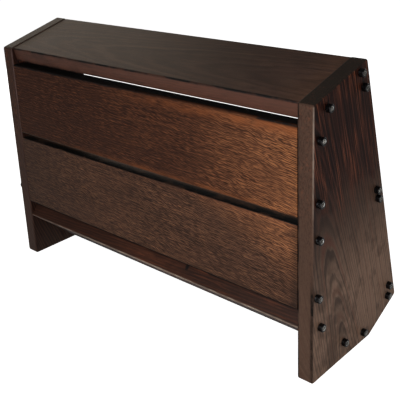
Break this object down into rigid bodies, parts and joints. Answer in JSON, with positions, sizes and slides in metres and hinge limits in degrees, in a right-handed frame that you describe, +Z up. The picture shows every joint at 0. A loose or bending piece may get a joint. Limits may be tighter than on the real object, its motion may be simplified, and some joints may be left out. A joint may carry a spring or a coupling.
{
  "type": "slanted two-row rack case",
  "caption": "Open-fronted wooden rack case with slanted front, plank boards between side panels, and slotted rails for two rows of modules.",
  "frame": {"origin": "on the floor, under the middle of the case's box", "axes": "+X across the width, towards the right side panel as seen from the open front; -Y towards the open slanted front; +Y towards the back boards; +Z up"},
  "size_m": [0.4906, 0.1708, 0.319],
  "materials": {
    "boards": "dark fumed oak boards, oiled, with fine ripple figure",
    "panels": "very dark fumed oak panels, oiled, with open grain and eased arrises",
    "rails": "satin anodised extrusion",
    "strips": "zinc-plated steel strip",
    "screws": "black-oxide steel, slightly oily"
  },
  "bodies": {
    "root": {"front_bottom_board": "boards", "front_bottom_board_screw_left_front": "screws", "front_bottom_board_screw_left_rear": "screws", "front_bottom_board_screw_right_front": "screws", "front_bottom_board_screw_right_rear": "screws", "left_side_panel": "panels", "lower_back_board": "boards", "lower_back_board_screw_left_lower": "screws", "lower_back_board_screw_left_upper": "screws", "lower_back_board_screw_right_lower": "screws", "lower_back_board_screw_right_upper": "screws", "lower_row_bottom_rail": "rails", "lower_row_bottom_rail_screw_left": "screws", "lower_row_bottom_rail_screw_right": "screws", "lower_row_bottom_strip": "strips", "lower_row_top_rail": "rails", "lower_row_top_rail_screw_left": "screws", "lower_row_top_rail_screw_right": "screws", "lower_row_top_strip": "strips", "rear_bottom_board": "boards", "rear_bottom_board_screw_left_front": "screws", "rear_bottom_board_screw_left_rear": "screws", "rear_bottom_board_screw_right_front": "screws", "rear_bottom_board_screw_right_rear": "screws", "right_side_panel": "panels", "top_board": "boards", "top_board_screw_left_front": "screws", "top_board_screw_left_rear": "screws", "top_board_screw_right_front": "screws", "top_board_screw_right_rear": "screws", "upper_back_board": "boards", "upper_back_board_screw_left_lower": "screws", "upper_back_board_screw_left_upper": "screws", "upper_back_board_screw_right_lower": "screws", "upper_back_board_screw_right_upper": "screws", "upper_row_bottom_rail": "rails", "upper_row_bottom_rail_screw_left": "screws", "upper_row_bottom_rail_screw_right": "screws", "upper_row_bottom_strip": "strips", "upper_row_top_rail": "rails", "upper_row_top_rail_screw_left": "screws", "upper_row_top_rail_screw_right": "screws", "upper_row_top_strip": "strips"}
  },
  "joints": []
}
